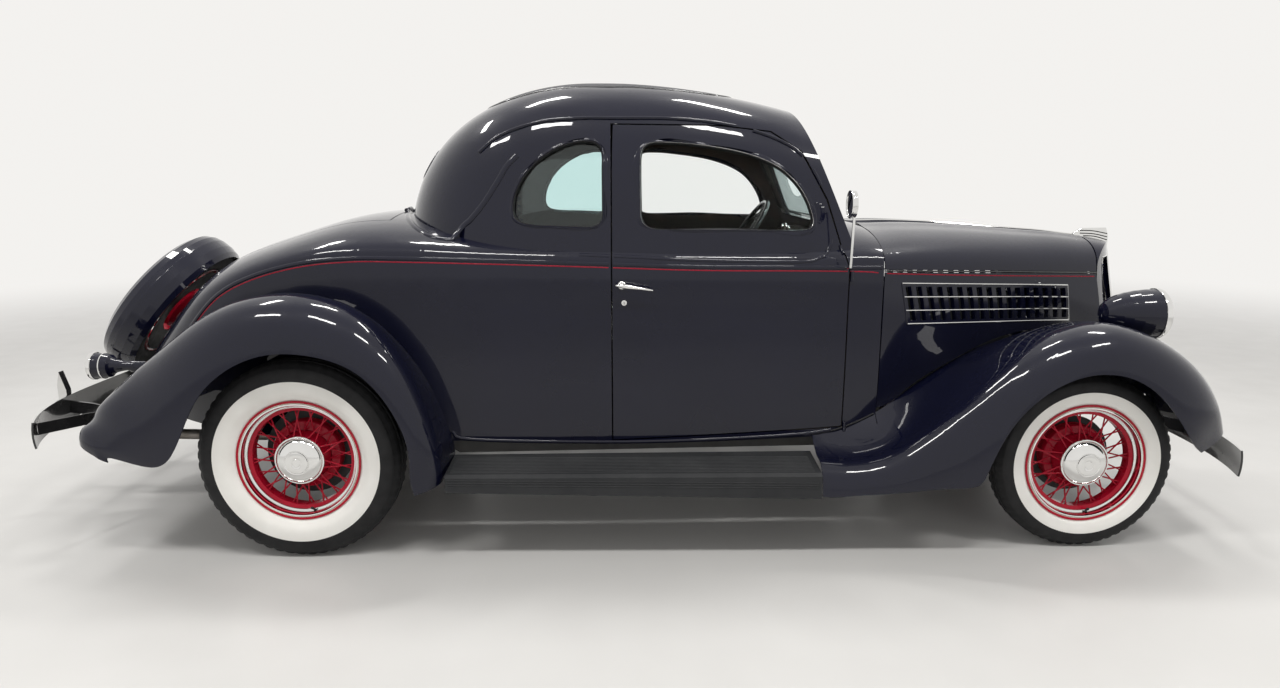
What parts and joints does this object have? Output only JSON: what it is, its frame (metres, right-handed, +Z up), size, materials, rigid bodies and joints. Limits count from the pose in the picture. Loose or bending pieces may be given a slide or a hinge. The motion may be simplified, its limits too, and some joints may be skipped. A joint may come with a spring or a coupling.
{
  "type": "coupe car",
  "caption": "Mid-1930s style five-window coupe with wire wheels, hinged doors, folding hood, deck lid with covered spare wheel, and linked steering.",
  "frame": {"origin": "centre of the bounding box on the floor plane the tyres stand on", "axes": "+X forward, +Y to the car's left, +Z up"},
  "size_m": [4.67, 1.7884, 1.7091],
  "materials": {
    "paint": "gloss",
    "roof_fabric": "matte",
    "floor_steel": "matte",
    "glass": "gloss",
    "grille_metal": "satin",
    "chrome": "polished",
    "radiator_black": "matte",
    "engine_iron": "matte",
    "board_rubber": "matte",
    "chassis_black": "satin",
    "spring_steel": "satin",
    "exhaust_steel": "satin",
    "tank_black": "satin",
    "lamp_paint": "gloss",
    "lens_glass": "gloss",
    "seat_cloth": "matte",
    "dash_paint": "satin",
    "column_black": "satin",
    "wheel_black": "gloss",
    "wheel_red": "gloss",
    "tyre": "matte",
    "hub_metal": "polished"
  },
  "bodies": {
    "body": {"body_shell": "paint", "roof_insert": "roof_fabric", "floor_pan": "floor_steel", "window_glass": "glass", "grille_shell": "paint", "grille": "grille_metal", "hood_hinge": "chrome", "radiator": "radiator_black", "engine": "engine_iron", "fenders_front": "paint", "fenders_rear": "paint", "running_boards": "board_rubber", "chassis": "chassis_black", "front_axle": "chassis_black", "rear_axle": "chassis_black", "springs": "spring_steel", "wishbone": "chassis_black", "exhaust": "exhaust_steel", "fuel_tank": "tank_black", "lamp_pods": "lamp_paint", "lamp_lenses": "lens_glass", "bumper_front": "chrome", "bumper_rear": "chrome", "bumper_irons": "chassis_black", "seat_cushions": "seat_cloth", "dashboard": "dash_paint", "steering_column": "column_black"},
    "steering_wheel": {"steering_wheel": "wheel_black"},
    "door_left": {"door_left": "paint", "door_glass_left": "glass", "mirror_left": "chrome"},
    "door_right": {"door_right": "paint", "door_glass_right": "glass", "mirror_right": "chrome"},
    "deck_lid": {"deck_lid": "paint", "spare_wheel": "wheel_red", "spare_tyre": "tyre", "spare_cover": "paint"},
    "hood_top_left": {"hood_top_left": "paint"},
    "hood_top_right": {"hood_top_right": "paint"},
    "hood_side_left": {"hood_side_left": "paint"},
    "hood_side_right": {"hood_side_right": "paint"},
    "knuckle_left": {"knuckle_left": "chassis_black"},
    "knuckle_right": {"knuckle_right": "chassis_black"},
    "tie_rod": {"tie_rod": "chassis_black"},
    "wheel_front_left": {"wheel_front_left": "wheel_red", "tyre_front_left": "tyre", "hub_front_left": "hub_metal"},
    "wheel_front_right": {"wheel_front_right": "wheel_red", "tyre_front_right": "tyre", "hub_front_right": "hub_metal"},
    "wheel_rear_left": {"wheel_rear_left": "wheel_red", "tyre_rear_left": "tyre", "hub_rear_left": "hub_metal"},
    "wheel_rear_right": {"wheel_rear_right": "wheel_red", "tyre_rear_right": "tyre", "hub_rear_right": "hub_metal"}
  },
  "joints": [
    {"name": "wheel_rear_left_spin", "type": "hinge", "parent": "body", "child": "wheel_rear_left", "pos_m": [-1.185, 0.74, 0.362], "axis": [0, 1, 0], "continuous": true},
    {"name": "wheel_rear_right_spin", "type": "hinge", "parent": "body", "child": "wheel_rear_right", "pos_m": [-1.185, -0.74, 0.362], "axis": [0, 1, 0], "continuous": true},
    {"name": "steer_right", "type": "hinge", "parent": "body", "child": "knuckle_right", "pos_m": [1.66, -0.6, 0.326], "axis": [0, 0, 1], "range_deg": [-30, 30]},
    {"name": "steer_left", "type": "hinge", "parent": "body", "child": "knuckle_left", "pos_m": [1.66, 0.6, 0.326], "axis": [0, 0, 1], "range_deg": [-30, 30]},
    {"name": "wheel_front_left_spin", "type": "hinge", "parent": "knuckle_left", "child": "wheel_front_left", "pos_m": [1.66, 0.705, 0.326], "axis": [0, 1, 0], "continuous": true},
    {"name": "wheel_front_right_spin", "type": "hinge", "parent": "knuckle_right", "child": "wheel_front_right", "pos_m": [1.66, -0.705, 0.326], "axis": [0, 1, 0], "continuous": true},
    {"name": "tie_rod_pivot", "type": "hinge", "parent": "knuckle_right", "child": "tie_rod", "pos_m": [1.49, -0.6, 0.303], "axis": [0, 0, 1], "range_deg": [-30, 30]},
    {"name": "steering_wheel_turn", "type": "hinge", "parent": "body", "child": "steering_wheel", "pos_m": [0.555, 0.34, 1.062], "axis": [-0.829, 0, 0.5592], "range_deg": [-400, 400]},
    {"name": "door_left_hinge", "type": "hinge", "parent": "body", "child": "door_left", "pos_m": [0.8, 0.7, 0.73], "axis": [0, 0, -1], "range_deg": [0, 65]},
    {"name": "door_right_hinge", "type": "hinge", "parent": "body", "child": "door_right", "pos_m": [0.8, -0.7, 0.73], "axis": [0, 0, 1], "range_deg": [0, 65]},
    {"name": "deck_lid_hinge", "type": "hinge", "parent": "body", "child": "deck_lid", "pos_m": [-0.91, 0, 1.219], "axis": [0, 1, 0], "range_deg": [0, 45]},
    {"name": "hood_top_left_hinge", "type": "hinge", "parent": "body", "child": "hood_top_left", "pos_m": [0.92, 0, 1.188], "axis": [0.9983, 0, -0.0576], "range_deg": [0, 50]},
    {"name": "hood_top_right_hinge", "type": "hinge", "parent": "body", "child": "hood_top_right", "pos_m": [0.92, 0, 1.188], "axis": [-0.9983, 0, 0.0576], "range_deg": [0, 50]},
    {"name": "hood_side_left_hinge", "type": "hinge", "parent": "hood_top_left", "child": "hood_side_left", "pos_m": [0.923, 0.619, 1.017], "axis": [0.9315, -0.3606, -0.0476], "range_deg": [-30, 0]},
    {"name": "hood_side_right_hinge", "type": "hinge", "parent": "hood_top_right", "child": "hood_side_right", "pos_m": [0.923, -0.619, 1.017], "axis": [-0.9315, -0.3606, 0.0476], "range_deg": [-30, 0]}
  ],
  "couplings": [
    {"joint": "steer_left", "follows": "steer_right", "ratio": 1},
    {"joint": "tie_rod_pivot", "follows": "steer_right", "ratio": -1},
    {"joint": "steering_wheel_turn", "follows": "steer_right", "ratio": 13},
    {"joint": "hood_side_left_hinge", "follows": "hood_top_left_hinge", "ratio": -0.6},
    {"joint": "hood_side_right_hinge", "follows": "hood_top_right_hinge", "ratio": -0.6}
  ]
}
